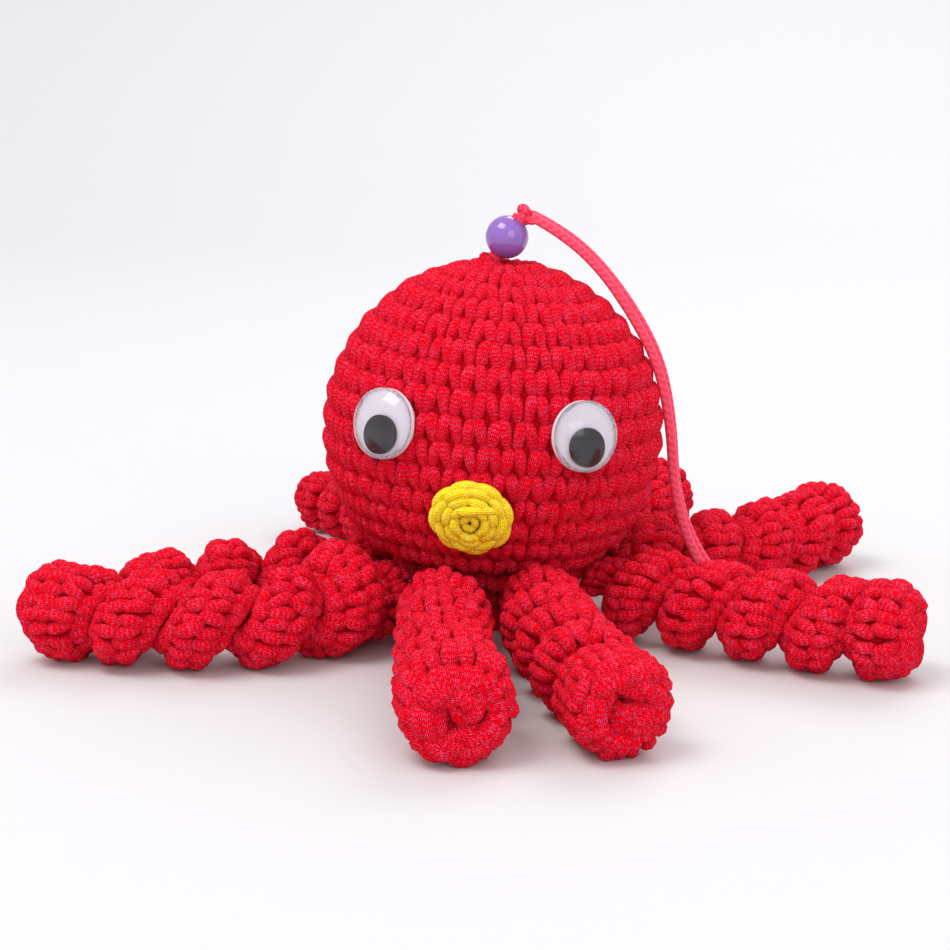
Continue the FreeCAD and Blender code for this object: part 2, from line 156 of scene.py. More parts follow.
def yarn_material(name, groove_shade, middle, loop_highlight, loop=0.62, columns=12, depth=0.0004, sheen=(1, 0.5, 0.6, 1)):
    """Knitted tube yarn: columns of tiny slanted loops along each strand, with painted shade in the grooves and
    a painted pink highlight on the loop tops.
    """
    made = Shader(name, Roughness=0.7, Specular_IOR_Level=0.03, Sheen_Weight=0.01, Sheen_Roughness=0.4)
    made.surface.inputs["Sheen Tint"].default_value = sheen
    uv = made.node("ShaderNodeUVMap", uv_map="yarn").outputs[0]
    split = made.node("ShaderNodeSeparateXYZ", uv)
    wide = made.math("MULTIPLY", split.outputs[1], 0.68 * columns)
    place = made.node("ShaderNodeCombineXYZ", split.outputs[0], wide).outputs[0]
    across = made.math("PINGPONG", made.math("MULTIPLY", split.outputs[1], float(columns)), 0.5)
    along = made.math("MULTIPLY", split.outputs[0], 1 / loop)
    wobble = made.math("MULTIPLY", made.noise(place, 0.9, 2), 2.2)
    slanted = made.math("ADD", made.math("ADD", along, made.math("MULTIPLY", across, 1.3)), wobble)
    wave = made.math("SINE", made.math("MULTIPLY", slanted, 2 * math.pi))
    groove = made.math("MULTIPLY", made.math("PINGPONG", across, 0.25), 3.2)
    loops = made.math("ADD", made.math("MULTIPLY", wave, 0.34), groove)
    height = made.math("ADD", loops, made.math("MULTIPLY", made.noise(place, 1.9, 3), 1.1))
    blotch = made.math("MULTIPLY", made.noise(place, 0.45, 2), 0.36)
    # Colour follows the loop relief: the dark stop is painted shade in the grooves and the bright stop is a
    # painted highlight on the loop tops; the blotch is random tone.
    shade_highlight_and_blotch = made.math("ADD", made.math("MULTIPLY", height, 0.42), blotch)
    made.feed("Base Color", made.ramp(shade_highlight_and_blotch, (0.32, groove_shade), (0.52, middle), (0.66, middle), (0.86, loop_highlight)))
    made.bump(height, 0.75, depth)
    return made.material


def plain_material(name, colour, roughness, mottle=0.06, grain=220.0, bump=0.00002, **sockets):
    """A moulded or cast surface with a faint mottle and a faint unevenness."""
    made = Shader(name, Roughness=roughness, **sockets)
    place = made.node("ShaderNodeTexCoord").outputs["Object"]
    cloud = made.noise(place, grain, 3)
    low = tuple(c * (1 - mottle) for c in colour)
    high = tuple(min(1, c * (1 + mottle)) for c in colour)
    made.feed("Base Color", made.ramp(cloud, (0.3, low), (0.7, high)))
    made.bump(made.noise(place, grain * 4, 2), 0.3, bump)
    return made.material


RED = yarn_material("red_yarn", (0.66, 0.0, 0.006), (1.0, 0.0004, 0.016), (1.0, 0.12, 0.26))
# A darker copy of each yarn for the shells and bands under the stitches: painted shade for the holes and gaps
# between the stitches.
RED_SHADED_CORE = yarn_material("red_yarn_shaded_inner", (0.30, 0.0, 0.003), (0.52, 0.0002, 0.007), (0.75, 0.01, 0.03))
YELLOW = yarn_material("yellow_yarn", (1.0, 0.60, 0.002), (1.0, 0.80, 0.012), (1.0, 1.0, 0.24), loop=0.55,
                       columns=7, depth=0.00022, sheen=(1, 0.9, 0.5, 1))
YELLOW_SHADED_CORE = yarn_material("yellow_yarn_shaded_inner", (0.80, 0.42, 0.0), (1.0, 0.60, 0.002), (1.0, 0.74, 0.02),
                            sheen=(1, 0.9, 0.5, 1))
CORD = yarn_material("red_cord", (0.66, 0.02, 0.06), (0.88, 0.055, 0.115), (1.0, 0.16, 0.24), loop=0.7,
                     columns=4, depth=0.00012)
FIBRE = plain_material("white_fibre", (0.86, 0.86, 0.84), 0.95, mottle=0.12, grain=500, bump=0.0004)
BEAD = plain_material("purple_bead", (0.255, 0.115, 0.47), 0.16, mottle=0.10, grain=90, Coat_Weight=0.6,
                      Coat_Roughness=0.06)
EYE_WHITE = plain_material("eye_white", (0.76, 0.71, 0.755), 0.42, mottle=0.03, grain=160)
PUPIL = plain_material("pupil_black", (0.016, 0.014, 0.016), 0.28, mottle=0.3, grain=260, bump=0.000004,
                       Specular_IOR_Level=0.25)
GLUE = plain_material("clear_glue", (0.80, 0.70, 0.70), 0.22, mottle=0.08, grain=700, bump=0.00015,
                      Transmission_Weight=0.45)


def dome_material():
    made = Shader("clear_dome", Roughness=0.03, IOR=1.1, Transmission_Weight=1.0, Coat_Weight=0.45,
                  Coat_Roughness=0.03)
    made.surface.inputs["Base Color"].default_value = (0.985, 0.985, 1.0, 1)
    place = made.node("ShaderNodeTexCoord").outputs["Object"]
    made.bump(made.noise(place, 420, 2), 0.12, 0.00002)
    return made.material


DOME = dome_material()


# ---------------------------------------------------------------- mesh helpers
def unit(vectors):
    return vectors / np.maximum(np.linalg.norm(vectors, axis=-1, keepdims=True), 1e-12)


def closed_grid(points, lengths):
    """Vertices, quads and corner UVs of closed strands.

    points is (strand, ring, side, 3) and lengths is (strand, ring), both in mm.
    """
    strands, rings, sides, _ = points.shape
    index = np.arange(strands * rings * sides).reshape(strands, rings, sides)
    low, high = index[:, :-1], index[:, 1:]
    walls = np.stack([low, np.roll(low, -1, 2), np.roll(high, -1, 2), high], -1).reshape(-1, 4)
    along = np.broadcast_to(lengths[:, :, None], (strands, rings, sides))
    around = np.broadcast_to(np.arange(sides) / sides, (strands, rings, sides))
    step = 1 / sides
    wall_uv = np.stack(
        [
            np.stack([along[:, :-1], around[:, :-1]], -1),
            np.stack([along[:, :-1], around[:, :-1] + step], -1),
            np.stack([along[:, 1:], around[:, 1:] + step], -1),
            np.stack([along[:, 1:], around[:, 1:]], -1),
        ],
        -2,
    ).reshape(-1, 4, 2)
    quads, uvs = [walls], [wall_uv]
    for k in range(sides // 2 - 1):
        corners = [k, k + 1, sides - 2 - k, sides - 1 - k]
        for ring, order in ((0, corners[::-1]), (rings - 1, corners)):
            quads.append(index[:, ring][:, order])
            uvs.append(np.stack([along[:, ring][:, order], around[:, ring][:, order]], -1))
    return points.reshape(-1, 3), np.concatenate(quads), np.concatenate(uvs)


def yarn_strands(centre, out, wide, thick, sides=8):
    """Closed strands round (strand, ring, 3) centre lines.

    wide and thick are their (strand, ring) radii in mm, across out and along it.
    """
    ahead = unit(np.gradient(centre, axis=1))
    across = unit(np.cross(out, ahead))
    out = np.cross(ahead, across)
    angle = np.arange(sides) * 2 * math.pi / sides
    turn = across[:, :, None] * np.cos(angle)[:, None] * wide[..., None, None]
    lift = out[:, :, None] * np.sin(angle)[:, None] * thick[..., None, None]
    steps = np.linalg.norm(np.diff(centre, axis=1), axis=-1)
    lengths = np.concatenate([np.zeros((len(centre), 1)), np.cumsum(steps, 1)], 1)
    lengths = lengths + rng.uniform(0, 40, (len(centre), 1))
    return closed_grid(centre[:, :, None] + turn + lift, lengths)


def add_mesh(name, parts, materials):
    """One smooth mesh object from (vertices in mm, quads, corner UVs, material number) parts."""
    quads, start = [], 0
    for part in parts:
        quads.append(part[1] + start)
        start += len(part[0])
    corners = np.concatenate(quads)
    mesh = bpy.data.meshes.new(name)
    mesh.vertices.add(start)
    mesh.vertices.foreach_set("co", (np.concatenate([p[0] for p in parts]) * MM).astype(np.float32).ravel())
    mesh.loops.add(corners.size)
    mesh.loops.foreach_set("vertex_index", corners.astype(np.int32).ravel())
    mesh.polygons.add(len(corners))
    mesh.polygons.foreach_set("loop_start", np.arange(0, corners.size, 4, dtype=np.int32))
    numbers = np.concatenate([np.full(len(p[1]), p[3], np.int32) for p in parts])
    mesh.polygons.foreach_set("material_index", numbers)
    mesh.polygons.foreach_set("use_smooth", np.ones(len(corners), bool))
    layer = mesh.uv_layers.new(name="yarn")
    layer.data.foreach_set("uv", np.concatenate([p[2] for p in parts]).astype(np.float32).ravel())
    for material in materials:
        mesh.materials.append(material)
    mesh.update(calc_edges=True)
    return add_object(name, mesh)


def plump(shares, ends=0.3, power=0.5):
    """Radius of a strand along its length, as a share of the fullest: 1 in the middle, ends at the tips."""
    return ends + (1 - ends) * (1 - (2 * shares - 1) ** 2) ** power


# ---------------------------------------------------------------- hanging cord
CORD_ROUTE = [
    (0.0067, -0.0012, 0.0728), (0.0120, -0.0009, 0.0699), (0.0188, -0.0006, 0.0639),
    (0.0250, -0.0004, 0.0550), (0.0295, -0.0002, 0.0463), (0.0317, 0.0002, 0.0356),
    (0.0324, 0.0006, 0.0248), (0.0350, 0.0003, 0.0146), (0.0405, -0.0008, 0.0058),
    (0.0480, -0.0022, 0.0011), (0.0554, -0.0046, 0.00095), (0.0622, -0.0068, 0.00095),
    (0.0690, -0.0050, 0.00095), (0.0732, 0.0006, 0.00095), (0.0706, 0.0070, 0.00095),
    (0.0638, 0.0092, 0.00095), (0.0564, 0.0062, 0.00095), (0.0492, 0.0026, 0.0011),
    (0.0414, 0.0019, 0.0062), (0.0355, 0.0028, 0.0148), (0.0327, 0.0031, 0.0249),
    (0.0321, 0.0027, 0.0358), (0.0300, 0.0022, 0.0468), (0.0253, 0.0019, 0.0559),
    (0.0188, 0.0017, 0.0646), (0.0120, 0.0015, 0.0704), (0.0067, 0.0012, 0.0730),
]
line = bpy.data.curves.new("cord_line", "CURVE")
line.dimensions = "3D"
line.bevel_depth = 0.85
line.bevel_resolution = 4
line.resolution_u = 10
line.use_fill_caps = True
spline = line.splines.new("NURBS")
spline.points.add(len(CORD_ROUTE) - 1)
for point, place in zip(spline.points, CORD_ROUTE):
    point.co = (*place, 1)
    point.radius = MM
spline.order_u = 3
spline.use_endpoint_u = True
cord = add_object("cord", line)
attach(cord, "loop")
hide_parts("hanging_cord")


def cord_material():
    """Thin braided cord: slanted plaits across a curve's own length and width, with painted shade in the folds
    and a painted highlight on the plait tops.
    """
    made = Shader("red_cord_braid", Roughness=0.55, Specular_IOR_Level=0.2, Sheen_Weight=0.08,
                  Sheen_Roughness=0.4)
    place = made.node("ShaderNodeTexCoord").outputs["UV"]
    split = made.node("ShaderNodeSeparateXYZ", place)
    fold = made.math("PINGPONG", made.math("MULTIPLY", split.outputs[1], 3.0), 0.5)
    along = made.math("MULTIPLY", split.outputs[0], 190.0)
    slanted = made.math("ADD", along, made.math("MULTIPLY", fold, 1.2))
    wave = made.math("SINE", made.math("MULTIPLY", slanted, 2 * math.pi))
    height = made.math("ADD", made.math("MULTIPLY", wave, 0.3), made.math("MULTIPLY", fold, 1.2))
    # The colour follows the plait relief: darker in the folds (painted shade), lighter on the plait tops
    # (painted highlight).
    stops = ((0.0, (0.80, 0.045, 0.10)), (0.4, (0.92, 0.08, 0.15)), (1.0, (1.0, 0.15, 0.23)))
    made.feed("Base Color", made.ramp(height, *stops))
    made.bump(height, 0.45, 0.0001)
    return made.material


line.materials.append(cord_material())


# ---------------------------------------------------------------- crocheted head
head_low, head_high = (np.array(v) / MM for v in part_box("head_shell"))
HEAD_RADIUS = (head_high[0] - head_low[0]) / 2
HEAD_CENTRE = np.array([0.0, 0.0, head_high[2] - HEAD_RADIUS])
HEAD_LEAN = math.radians(3.2)
ROUND_PITCH = 4.6
STITCHES_AT_WIDEST = 43.5
STITCH_WIDTH = 4.3


def leaned(points):
    """Points of an upright ball about its centre, leaned towards +X as the whole head sits."""
    c, s = math.cos(HEAD_LEAN), math.sin(HEAD_LEAN)
    turn = np.array([[c, 0, s], [0, 1, 0], [-s, 0, c]])
    return points @ turn.T


def ball_stitches(radius, first, last):
    """Polar angle, bearing and width of each stitch of one spiral of rounds down a ball."""
    polar, bearing, found = first, 0.0, []
    while polar < last:
        count = max(6.0, STITCHES_AT_WIDEST * math.sin(polar))
        found.append((polar, bearing, 2 * math.pi * radius * math.sin(polar) / count))
        bearing += 2 * math.pi / count
        polar += ROUND_PITCH / radius / count
    return np.array(found)


def inverted_v(places, frames, width, shares, drop=5.0, depth=0.75, size=1.27, sides=8):
    """Two plump legs per stitch, from one peak down and apart.

    frames is (stitch, 3 axes, 3), and the axes are across, down and out.
    """
    parts = []
    for side in (-1, 1):
        jitter = rng.normal(0, 0.12, (len(places), 3))
        slant = rng.normal(0, 0.035, (len(places), 1)) * drop * (shares[None] - 0.5)
        x = side * (0.12 + 0.25 * shares[None] ** 0.9) * width[:, None] + jitter[:, :1] + slant
        y = (shares[None] - 0.5) * drop + jitter[:, 1:2]
        z = depth * np.sin(math.pi * (0.05 + 0.95 * shares[None] ** 0.75)) + 0.6 * jitter[:, 2:3]
        centre = (
            places[:, None]
            + x[..., None] * frames[:, None, 0]
            + y[..., None] * frames[:, None, 1]
            + z[..., None] * frames[:, None, 2]
        )
        out = np.broadcast_to(frames[:, None, 2], centre.shape)
        swell = np.interp(shares, (0, 0.12, 0.36, 0.75, 1), (0.42, 0.86, 1, 0.78, 0.42))
        fullness = swell[None] * size * rng.uniform(0.92, 1.08, (len(places), 1))
        fullness = fullness * (width[:, None] / STITCH_WIDTH)
        parts.append((*yarn_strands(centre, out, fullness, fullness * 1.02, sides), 0))
    return parts


def ball_frames(polar, bearing):
    """Across, down and out at points of a ball."""
    sp, cp, sb, cb = np.sin(polar), np.cos(polar), np.sin(bearing), np.cos(bearing)
    out = np.stack([sp * cb, sp * sb, cp], -1)
    down = np.stack([cp * cb, cp * sb, -sp], -1)
    across = np.stack([-sb, cb, np.zeros_like(sb)], -1)
    return np.stack([across, down, out], 1)


def lathe(profile, steps, centre, lean=True):
    """A closed surface of revolution from (radius, height) pairs, open at neither end, with UVs in mm."""
    profile = np.array(profile, float)
    angle = np.arange(steps) * 2 * math.pi / steps
    ring = np.stack([np.cos(angle), np.sin(angle), np.zeros(steps)], -1)
    points = profile[:, None, :1] * ring[None] + profile[:, None, 1:] * np.array([0, 0, 1.0])
    points = leaned(points) if lean else points
    run = np.concatenate([[0], np.cumsum(np.linalg.norm(np.diff(profile, axis=0), axis=1))])
    vertices, quads, uvs = closed_grid((points + centre)[None], run[None])
    uvs = uvs * np.array([1.0, 12.0])
    return vertices, quads, uvs


NECK_POLAR = math.acos((head_low[2] - HEAD_CENTRE[2]) / HEAD_RADIUS)
stitches = ball_stitches(HEAD_RADIUS, first=0.085, last=NECK_POLAR - 0.03)
frames = leaned(ball_frames(stitches[:, 0], stitches[:, 1]))
places = HEAD_CENTRE + frames[:, 2] * (HEAD_RADIUS - 1.55)
shares = np.linspace(0, 1, 9)
head_parts = inverted_v(places, frames, stitches[:, 2], shares)
# An inner shell under the stitches closes the gaps; it takes the darker copy of the red yarn, painted shade in
# the holes.
arc = np.linspace(0.02, NECK_POLAR - 0.01, 60)
inner = HEAD_RADIUS - 1.0
shell = lathe(np.stack([inner * np.sin(arc), inner * np.cos(arc)], -1)[::-1], 96, HEAD_CENTRE)
head_parts.append((*shell, 1))
COLLAR_ARCS = 7
STEM_LEAN = math.radians(31.0)
stem_along = np.array([math.sin(STEM_LEAN), 0.0, math.cos(STEM_LEAN)])
stem_across = np.array([math.cos(STEM_LEAN), 0.0, -math.sin(STEM_LEAN)])
bearing = (np.arange(COLLAR_ARCS)[:, None] + 1.3 * shares[None]) * 2 * math.pi / COLLAR_ARCS
radial = np.cos(bearing)[..., None] * stem_across + np.sin(bearing)[..., None] * np.array([0.0, 1.0, 0.0])
collar = np.array([0.1, 0.0, head_high[2] - 0.5]) + radial * (1.95 + 0.2 * (shares - 0.5))[:, None]
fullness = np.repeat(plump(shares, 0.45)[None], COLLAR_ARCS, 0)
head_parts.append((*yarn_strands(collar, unit(radial + stem_along), fullness, fullness), 0))
head = add_mesh("head_crochet", head_parts, [RED, RED_SHADED_CORE])
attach(head, "head")
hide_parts("head_shell")


# ---------------------------------------------------------------- base and joining round
def flat_frames(bearing, slope):
    """Across, down and out on a cone whose surface rises outwards by slope, seen from below."""
    sb, cb, ss, cs = np.sin(bearing), np.cos(bearing), np.sin(slope), np.cos(slope)
    out = np.stack([cb * ss, sb * ss, -cs], -1)
    down = np.stack([cb * cs, sb * cs, ss], -1)
    across = np.stack([-sb, cb, np.zeros_like(sb)], -1)
    return np.stack([across, down, out], 1)


base_low, base_high = (np.array(v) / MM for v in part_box("base_disc"))
BASE_RIM = (base_high[0] - base_low[0]) / 2
FIRST_ROW, LAST_ROW = 1.9, 22.5
row, rows = FIRST_ROW, []
while row < LAST_ROW:
    rows.append(row)
    row += STITCH_WIDTH
base_profile = [(0.0, 0.0), (11.0, 0.0), (BASE_RIM, base_high[2])]
profile_steps = np.linalg.norm(np.diff(np.array(base_profile), axis=0), axis=1)
profile_run = np.concatenate([[0], np.cumsum(profile_steps)])
base_parts = []
for row in rows:
    r = np.interp(row, profile_run, [p[0] for p in base_profile])
    z = np.interp(row, profile_run, [p[1] for p in base_profile])
    slope = 0.0 if row < 9.5 else 1.02 if row > 13 else 0.5
    count = max(6, round(2 * math.pi * r / STITCH_WIDTH))
    bearing = np.arange(count) * 2 * math.pi / count + row
    axes = flat_frames(bearing, np.full(count, slope))
    where = np.stack([r * np.cos(bearing), r * np.sin(bearing), np.full(count, z)], -1) - axes[:, 2] * 2.25
    base_parts += inverted_v(where, axes, np.full(count, 2 * math.pi * r / count), shares, drop=4.4)
base_core = [(0.3, 2.0), (10.2, 2.0), (16.2, 10.6), (0.3, 10.6)]
base_parts.append((*lathe(base_core, 72, np.zeros(3), lean=False), 1))
base = add_mesh("base_crochet", base_parts, [RED, RED_SHADED_CORE])
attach(base, "head")
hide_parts("base_disc")

neck_low, neck_high = (np.array(v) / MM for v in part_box("joining_round"))
NECK_RIM = (neck_high[0] - neck_low[0]) / 2
NECK_STITCHES = 26
bearing = np.arange(NECK_STITCHES) * 2 * math.pi / NECK_STITCHES
axes = flat_frames(bearing, np.full(NECK_STITCHES, math.pi / 2))
height = np.full(NECK_STITCHES, (neck_low[2] + neck_high[2]) / 2)
middle = np.stack([NECK_RIM * np.cos(bearing), NECK_RIM * np.sin(bearing), height], -1)
width = np.full(NECK_STITCHES, 2 * math.pi * NECK_RIM / NECK_STITCHES)
join_parts = inverted_v(middle - axes[:, 2] * 1.3, axes, width, shares, drop=4.2)
join_core = [(14.0, 9.0), (16.6, 9.4), (16.8, 12.4), (14.0, 12.8)]
join_parts.append((*lathe(join_core, 72, np.zeros(3), lean=False), 1))
join = add_mesh("join_crochet", join_parts, [RED, RED_SHADED_CORE])
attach(join, "head")
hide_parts("joining_round")


# ---------------------------------------------------------------- tentacles
CURL_RADIUS = 8.35
FULL = ((0, 0.42), (4, 0.74), (8, 0.98), (11, 1.0), (90, 1.0))
BIG_END = ((0, 0.42), (4, 0.74), (8, 0.98), (11, 1.0), (40, 1.0), (52, 1.08), (90, 1.08))
SLIM = ((0, 0.42), (4, 0.64), (8, 0.88), (11, 0.95), (90, 0.95))
TAPERED = ((0, 0.42), (4, 0.64), (9, 0.82), (20, 0.93), (38, 0.93), (52, 0.78), (62, 0.66), (90, 0.66))
TALL = ((0, 0.42), (4, 0.75), (7.5, 1.20), (11, 1.24), (15, 1.08), (19, 1.0), (90, 1.0))
TENTACLES = {
    "tentacle_front_left": ((-6.0, -46.0), (-0.8, -78.0), BIG_END, 200.0, 12.5),
    "tentacle_front_right": ((12.0, -45.0), (23.0, -74.5), FULL, 80.0, 12.0),
    "tentacle_right_front": ((40.0, -25.0), (66.0, -34.5), FULL, 270.0, 11.5),
    "tentacle_right_rear": ((43.0, 10.0), (62.0, 41.0), FULL, 270.0, 13.0),
    "tentacle_rear_right": ((17.0, 42.0), (29.0, 60.5), FULL, 0.0, 11.0),
    "tentacle_rear_left": ((-22.0, 42.0), (-39.4, 64.2), TAPERED, 0.0, 11.5),
    "tentacle_left_rear": ((-38.0, -1.5), (-57.0, -19.0), SLIM, 135.0, 14.5),
    "tentacle_left_front": ((-28.0, -46.0), (-69.6, -32.9), TALL, 15.0, 12.0),
}
STRAND_GAP = 2.3
END_TURNS = 1.7
AXIS_STEPS = 240
FARTHEST_FROM_NODE = 14.0


class Curl:
    """A fat crocheted band wound left-handed round a curved axis, from the root to a spiral end."""

    def __init__(self, root, bend, tip, sizes, end_angle, pitch):
        t = np.linspace(0, 1, AXIS_STEPS)[:, None]
        root, bend, tip = (np.array([p[0], p[1]], float) for p in (root, bend, tip))
        flat = root * (1 - t) ** 2 + bend * 2 * (1 - t) * t + tip * t**2
        last = unit(flat[-1] - flat[-2])
        flat = np.concatenate([flat, flat[-1] + last * np.linspace(0.2, 12, 40)[:, None]])
        self.s = np.concatenate([[0], np.cumsum(np.linalg.norm(np.diff(flat, axis=0), axis=1))])
        length = self.s[AXIS_STEPS - 1]
        grow = np.interp(self.s, *zip(*sizes))
        rest = CURL_RADIUS * grow + 0.1
        rising = 8.5 + (rest - 8.5) * np.clip((self.s - 11) / 6, 0, 1)
        self.axis = np.concatenate([flat, np.maximum(rest, rising)[:, None]], 1)
        self.ahead = unit(np.gradient(self.axis, axis=0))
        reach = length + 3.4 * grow[AXIS_STEPS - 1]
        pace = pitch * (0.34 + 0.66 * np.minimum(grow, 1.0))
        turns = np.concatenate([[0], np.cumsum(np.diff(self.s) / ((pace[1:] + pace[:-1]) / 2))])
        slow = 0.16 * END_TURNS * pitch
        body_turns = np.interp(reach - slow, self.s, turns)
        self.turns = body_turns + END_TURNS
        body = np.linspace(0, body_turns, 400)
        self.tau = np.concatenate([body, np.linspace(body_turns, self.turns, 80)[1:]])
        self.run = np.concatenate([np.interp(body, turns, self.s), np.linspace(reach - slow, reach, 80)[1:]])
        closing = np.clip((self.tau - body_turns) / END_TURNS, 0, 1)
        self.ending = self.turns - 0.62 * END_TURNS
        scale = np.interp(self.run, self.s, grow)
        nub = np.sqrt(1 - (np.clip(closing - 0.8, 0, 0.19) / 0.2) ** 2)
        stages = (0, 0.3, 0.5, 0.75, 1)
        self.rho = scale * np.interp(closing, stages, (2.7, 4.9, 5.0, 2.6, 0.2))
        half = 0.455 * np.interp(self.run, self.s, pace) - 0.65
        self.a = np.minimum(half, 5.0) * (1 - 0.36 * closing) * (0.5 + 0.5 * nub)
        self.a = self.a * np.maximum(scale, 1) ** 0.5
        self.b = scale * np.interp(closing, stages, (4.55, 2.6, 2.3, 2.1, 2.1)) * (0.4 + 0.6 * nub)
        self.scale = scale
        self.phase = math.radians(end_angle) + 2 * math.pi * self.turns

    def section(self, tau, psi, swell=0.0):
        """Point and outward normal on the band's section at angle psi, the section's radii grown by swell."""
        run = np.interp(tau, self.tau, self.run)
        centre = np.stack([np.interp(run, self.s, self.axis[:, k]) for k in range(3)], -1)
        ahead = unit(np.stack([np.interp(run, self.s, self.ahead[:, k]) for k in range(3)], -1))
        side = unit(np.cross(ahead, np.array([0, 0, 1.0])))
        up = np.cross(side, ahead)
        angle = (self.phase - 2 * math.pi * tau)[..., None]
        radial = np.cos(angle) * up + np.sin(angle) * side
        rho, a, b = (np.interp(tau, self.tau, v)[..., None] for v in (self.rho, self.a, self.b))
        a, b, psi = a + swell, b + swell, psi[..., None]
        point = centre + radial * (rho + b * np.cos(psi)) + ahead * a * np.sin(psi)
        return point, unit(ahead * np.sin(psi) / a + radial * np.cos(psi) / b)

    def core(self):
        """The plain band under the strands, as a closed tube."""
        steps = int(self.turns * 26)
        tau = np.linspace(0, self.turns, steps)
        psi = -np.arange(20) * 2 * math.pi / 20
        point, _ = self.section(np.repeat(tau[:, None], 20, 1), np.repeat(psi[None], steps, 0), -0.1)
        vertices, quads, uvs = closed_grid(point[None], (tau * 50)[None])
        return vertices, quads, uvs * np.array([1.0, 10.0])

    def legs(self, shares):
        """Pairs of yarn legs on both sides of the band, and strands laid along its closing spiral."""
        places, tau = [], 0.0
        while tau < self.turns:
            places.append(tau)
            rim = np.interp(tau, self.tau, self.rho) + np.interp(tau, self.tau, self.b)
            tau += STRAND_GAP * max(0.72, np.interp(tau, self.tau, self.scale)) / (2 * math.pi * rim)
        places = np.array(places)
        gap = np.gradient(places)
        number = np.arange(len(places))
        every, open_side = places >= 0, places < self.ending
        rows = [
            (-1, -6, 52, every, 0.3),
            (-1, 44, 112, every, -0.3),
            (1, -6, 52, every, 0.3),
            (1, 44, 112, open_side, -0.3),
        ]
        parts = []
        for side, begin, end, wanted, spread in rows:
            at, space = places[wanted], gap[wanted]
            hand = np.where((number[wanted] + (side > 0)) % 2, 1.0, -1.0)
            drift = spread * (0.5 - shares[None]) * hand[:, None] * 1.6 + rng.normal(0, 0.12, (len(at), 1))
            drift = drift + rng.normal(0, 0.25, (len(at), 1)) * (shares[None] - 0.5)
            tau = np.clip(at[:, None] + space[:, None] * drift, 0, self.turns)
            psi = np.radians(begin + (end - begin) * shares[None] + rng.normal(0, 2.0, (len(at), 1))) * side
            size = np.maximum(0.72, np.interp(at, self.tau, self.scale)) * rng.uniform(0.93, 1.07, len(at))
            fullness = plump(shares, 0.45)[None] * size[:, None]
            dip = 0.9 * (1 - np.sin(math.pi * shares))[None] + rng.normal(0, 0.16, (len(at), 1))
            point, out = self.section(tau, psi)
            centre = point + out * (0.25 - dip)[..., None]
            parts.append((*yarn_strands(centre, out, fullness * 1.24, fullness * 1.14), 0))
        for lane, psi_middle in enumerate((38, 66, 94, 122, 150)):
            tau = self.ending - 0.1 + 0.05 * (lane % 2)
            while tau < self.turns - 0.04:
                psi = math.radians(psi_middle + rng.normal(0, 3))
                rim = np.interp(tau, self.tau, self.rho) + np.interp(tau, self.tau, self.b) * math.cos(psi)
                span = rng.uniform(4.6, 6.4) / (2 * math.pi * max(rim, 1.6))
                at = np.minimum(tau + span * 1.12 * shares, self.turns)
                slant = psi + rng.normal(0, 0.16) * (shares - 0.5)
                point, out = self.section(at, slant)
                dip = 0.8 * (1 - np.sin(math.pi * shares)) + rng.normal(0, 0.15)
                fullness = plump(shares, 0.45)[None] * np.interp(tau, self.tau, self.scale)
                fullness = fullness * rng.uniform(0.95, 1.15)
                centre = (point + out * (0.25 - dip)[:, None])[None]
                parts.append((*yarn_strands(centre, out[None], fullness * 1.2, fullness * 1.1), 0))
                tau += span
        return parts


leg_shares = np.linspace(0, 1, 7)
for name, (bend, tip, sizes, end_angle, pitch) in TENTACLES.items():
    root = np.array(joints[name + "_lift"]["pos_m"]) / MM
    curl = Curl(root, bend, tip, sizes, end_angle, pitch)
    low, high = (np.array(v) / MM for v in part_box(name))
    drawn_low = np.minimum(curl.axis[:AXIS_STEPS, :2].min(0), root[:2])
    if np.abs(drawn_low - low[:2]).max() > FARTHEST_FROM_NODE:
        raise ValueError(f"{name} is not where its CAD node is")
    # The core band under the legs takes the darker copy of the red yarn, painted shade between the legs.
    piece = add_mesh(name + "_crochet", curl.legs(leg_shares) + [(*curl.core(), 1)], [RED, RED_SHADED_CORE])
    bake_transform(piece)
    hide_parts(name)


# ---------------------------------------------------------------- mouth
def outward_at(node):
    """Outward direction at a node that sits on the head."""
    low, high = (np.array(v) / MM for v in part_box(node))
    return unit((low + high) / 2 - HEAD_CENTRE)


mouth_out = outward_at("mouth_rosette")
mouth_side = unit(np.cross(np.array([0, 0, 1.0]), mouth_out))
mouth_up = np.cross(mouth_out, mouth_side)
mouth_seat = HEAD_CENTRE + mouth_out * (HEAD_RADIUS + 0.2)


def on_mouth(x, y, z):
    """Points from the rosette's own right, up and out, in mm."""
    return mouth_seat + x[..., None] * mouth_side + y[..., None] * mouth_up + z[..., None] * mouth_out


def mouth_arcs(count, reach, rise, size, span, turn, wave=0.0):
    """A ring of plump strands laid round the rosette, each sagging at both ends."""
    s = np.linspace(0, 1, 11)[None]
    bearing = (np.arange(count)[:, None] + span * (s - 0.5)) * 2 * math.pi / count + turn
    bearing = bearing + rng.normal(0, 0.03, (count, 1))
    r = reach + wave * np.sin(math.pi * s) + rng.normal(0, 0.08, (count, 1)) + 0.25 * (s - 0.5)
    z = rise + 0.45 * np.sin(math.pi * s) + rng.normal(0, 0.06, (count, 1))
    centre = on_mouth(r * np.cos(bearing), r * np.sin(bearing), z)
    fullness = plump(s[0], 0.4)[None] * size * rng.uniform(0.93, 1.07, (count, 1))
    return [(*yarn_strands(centre, np.broadcast_to(mouth_out, centre.shape), fullness, fullness, 10), 0)]


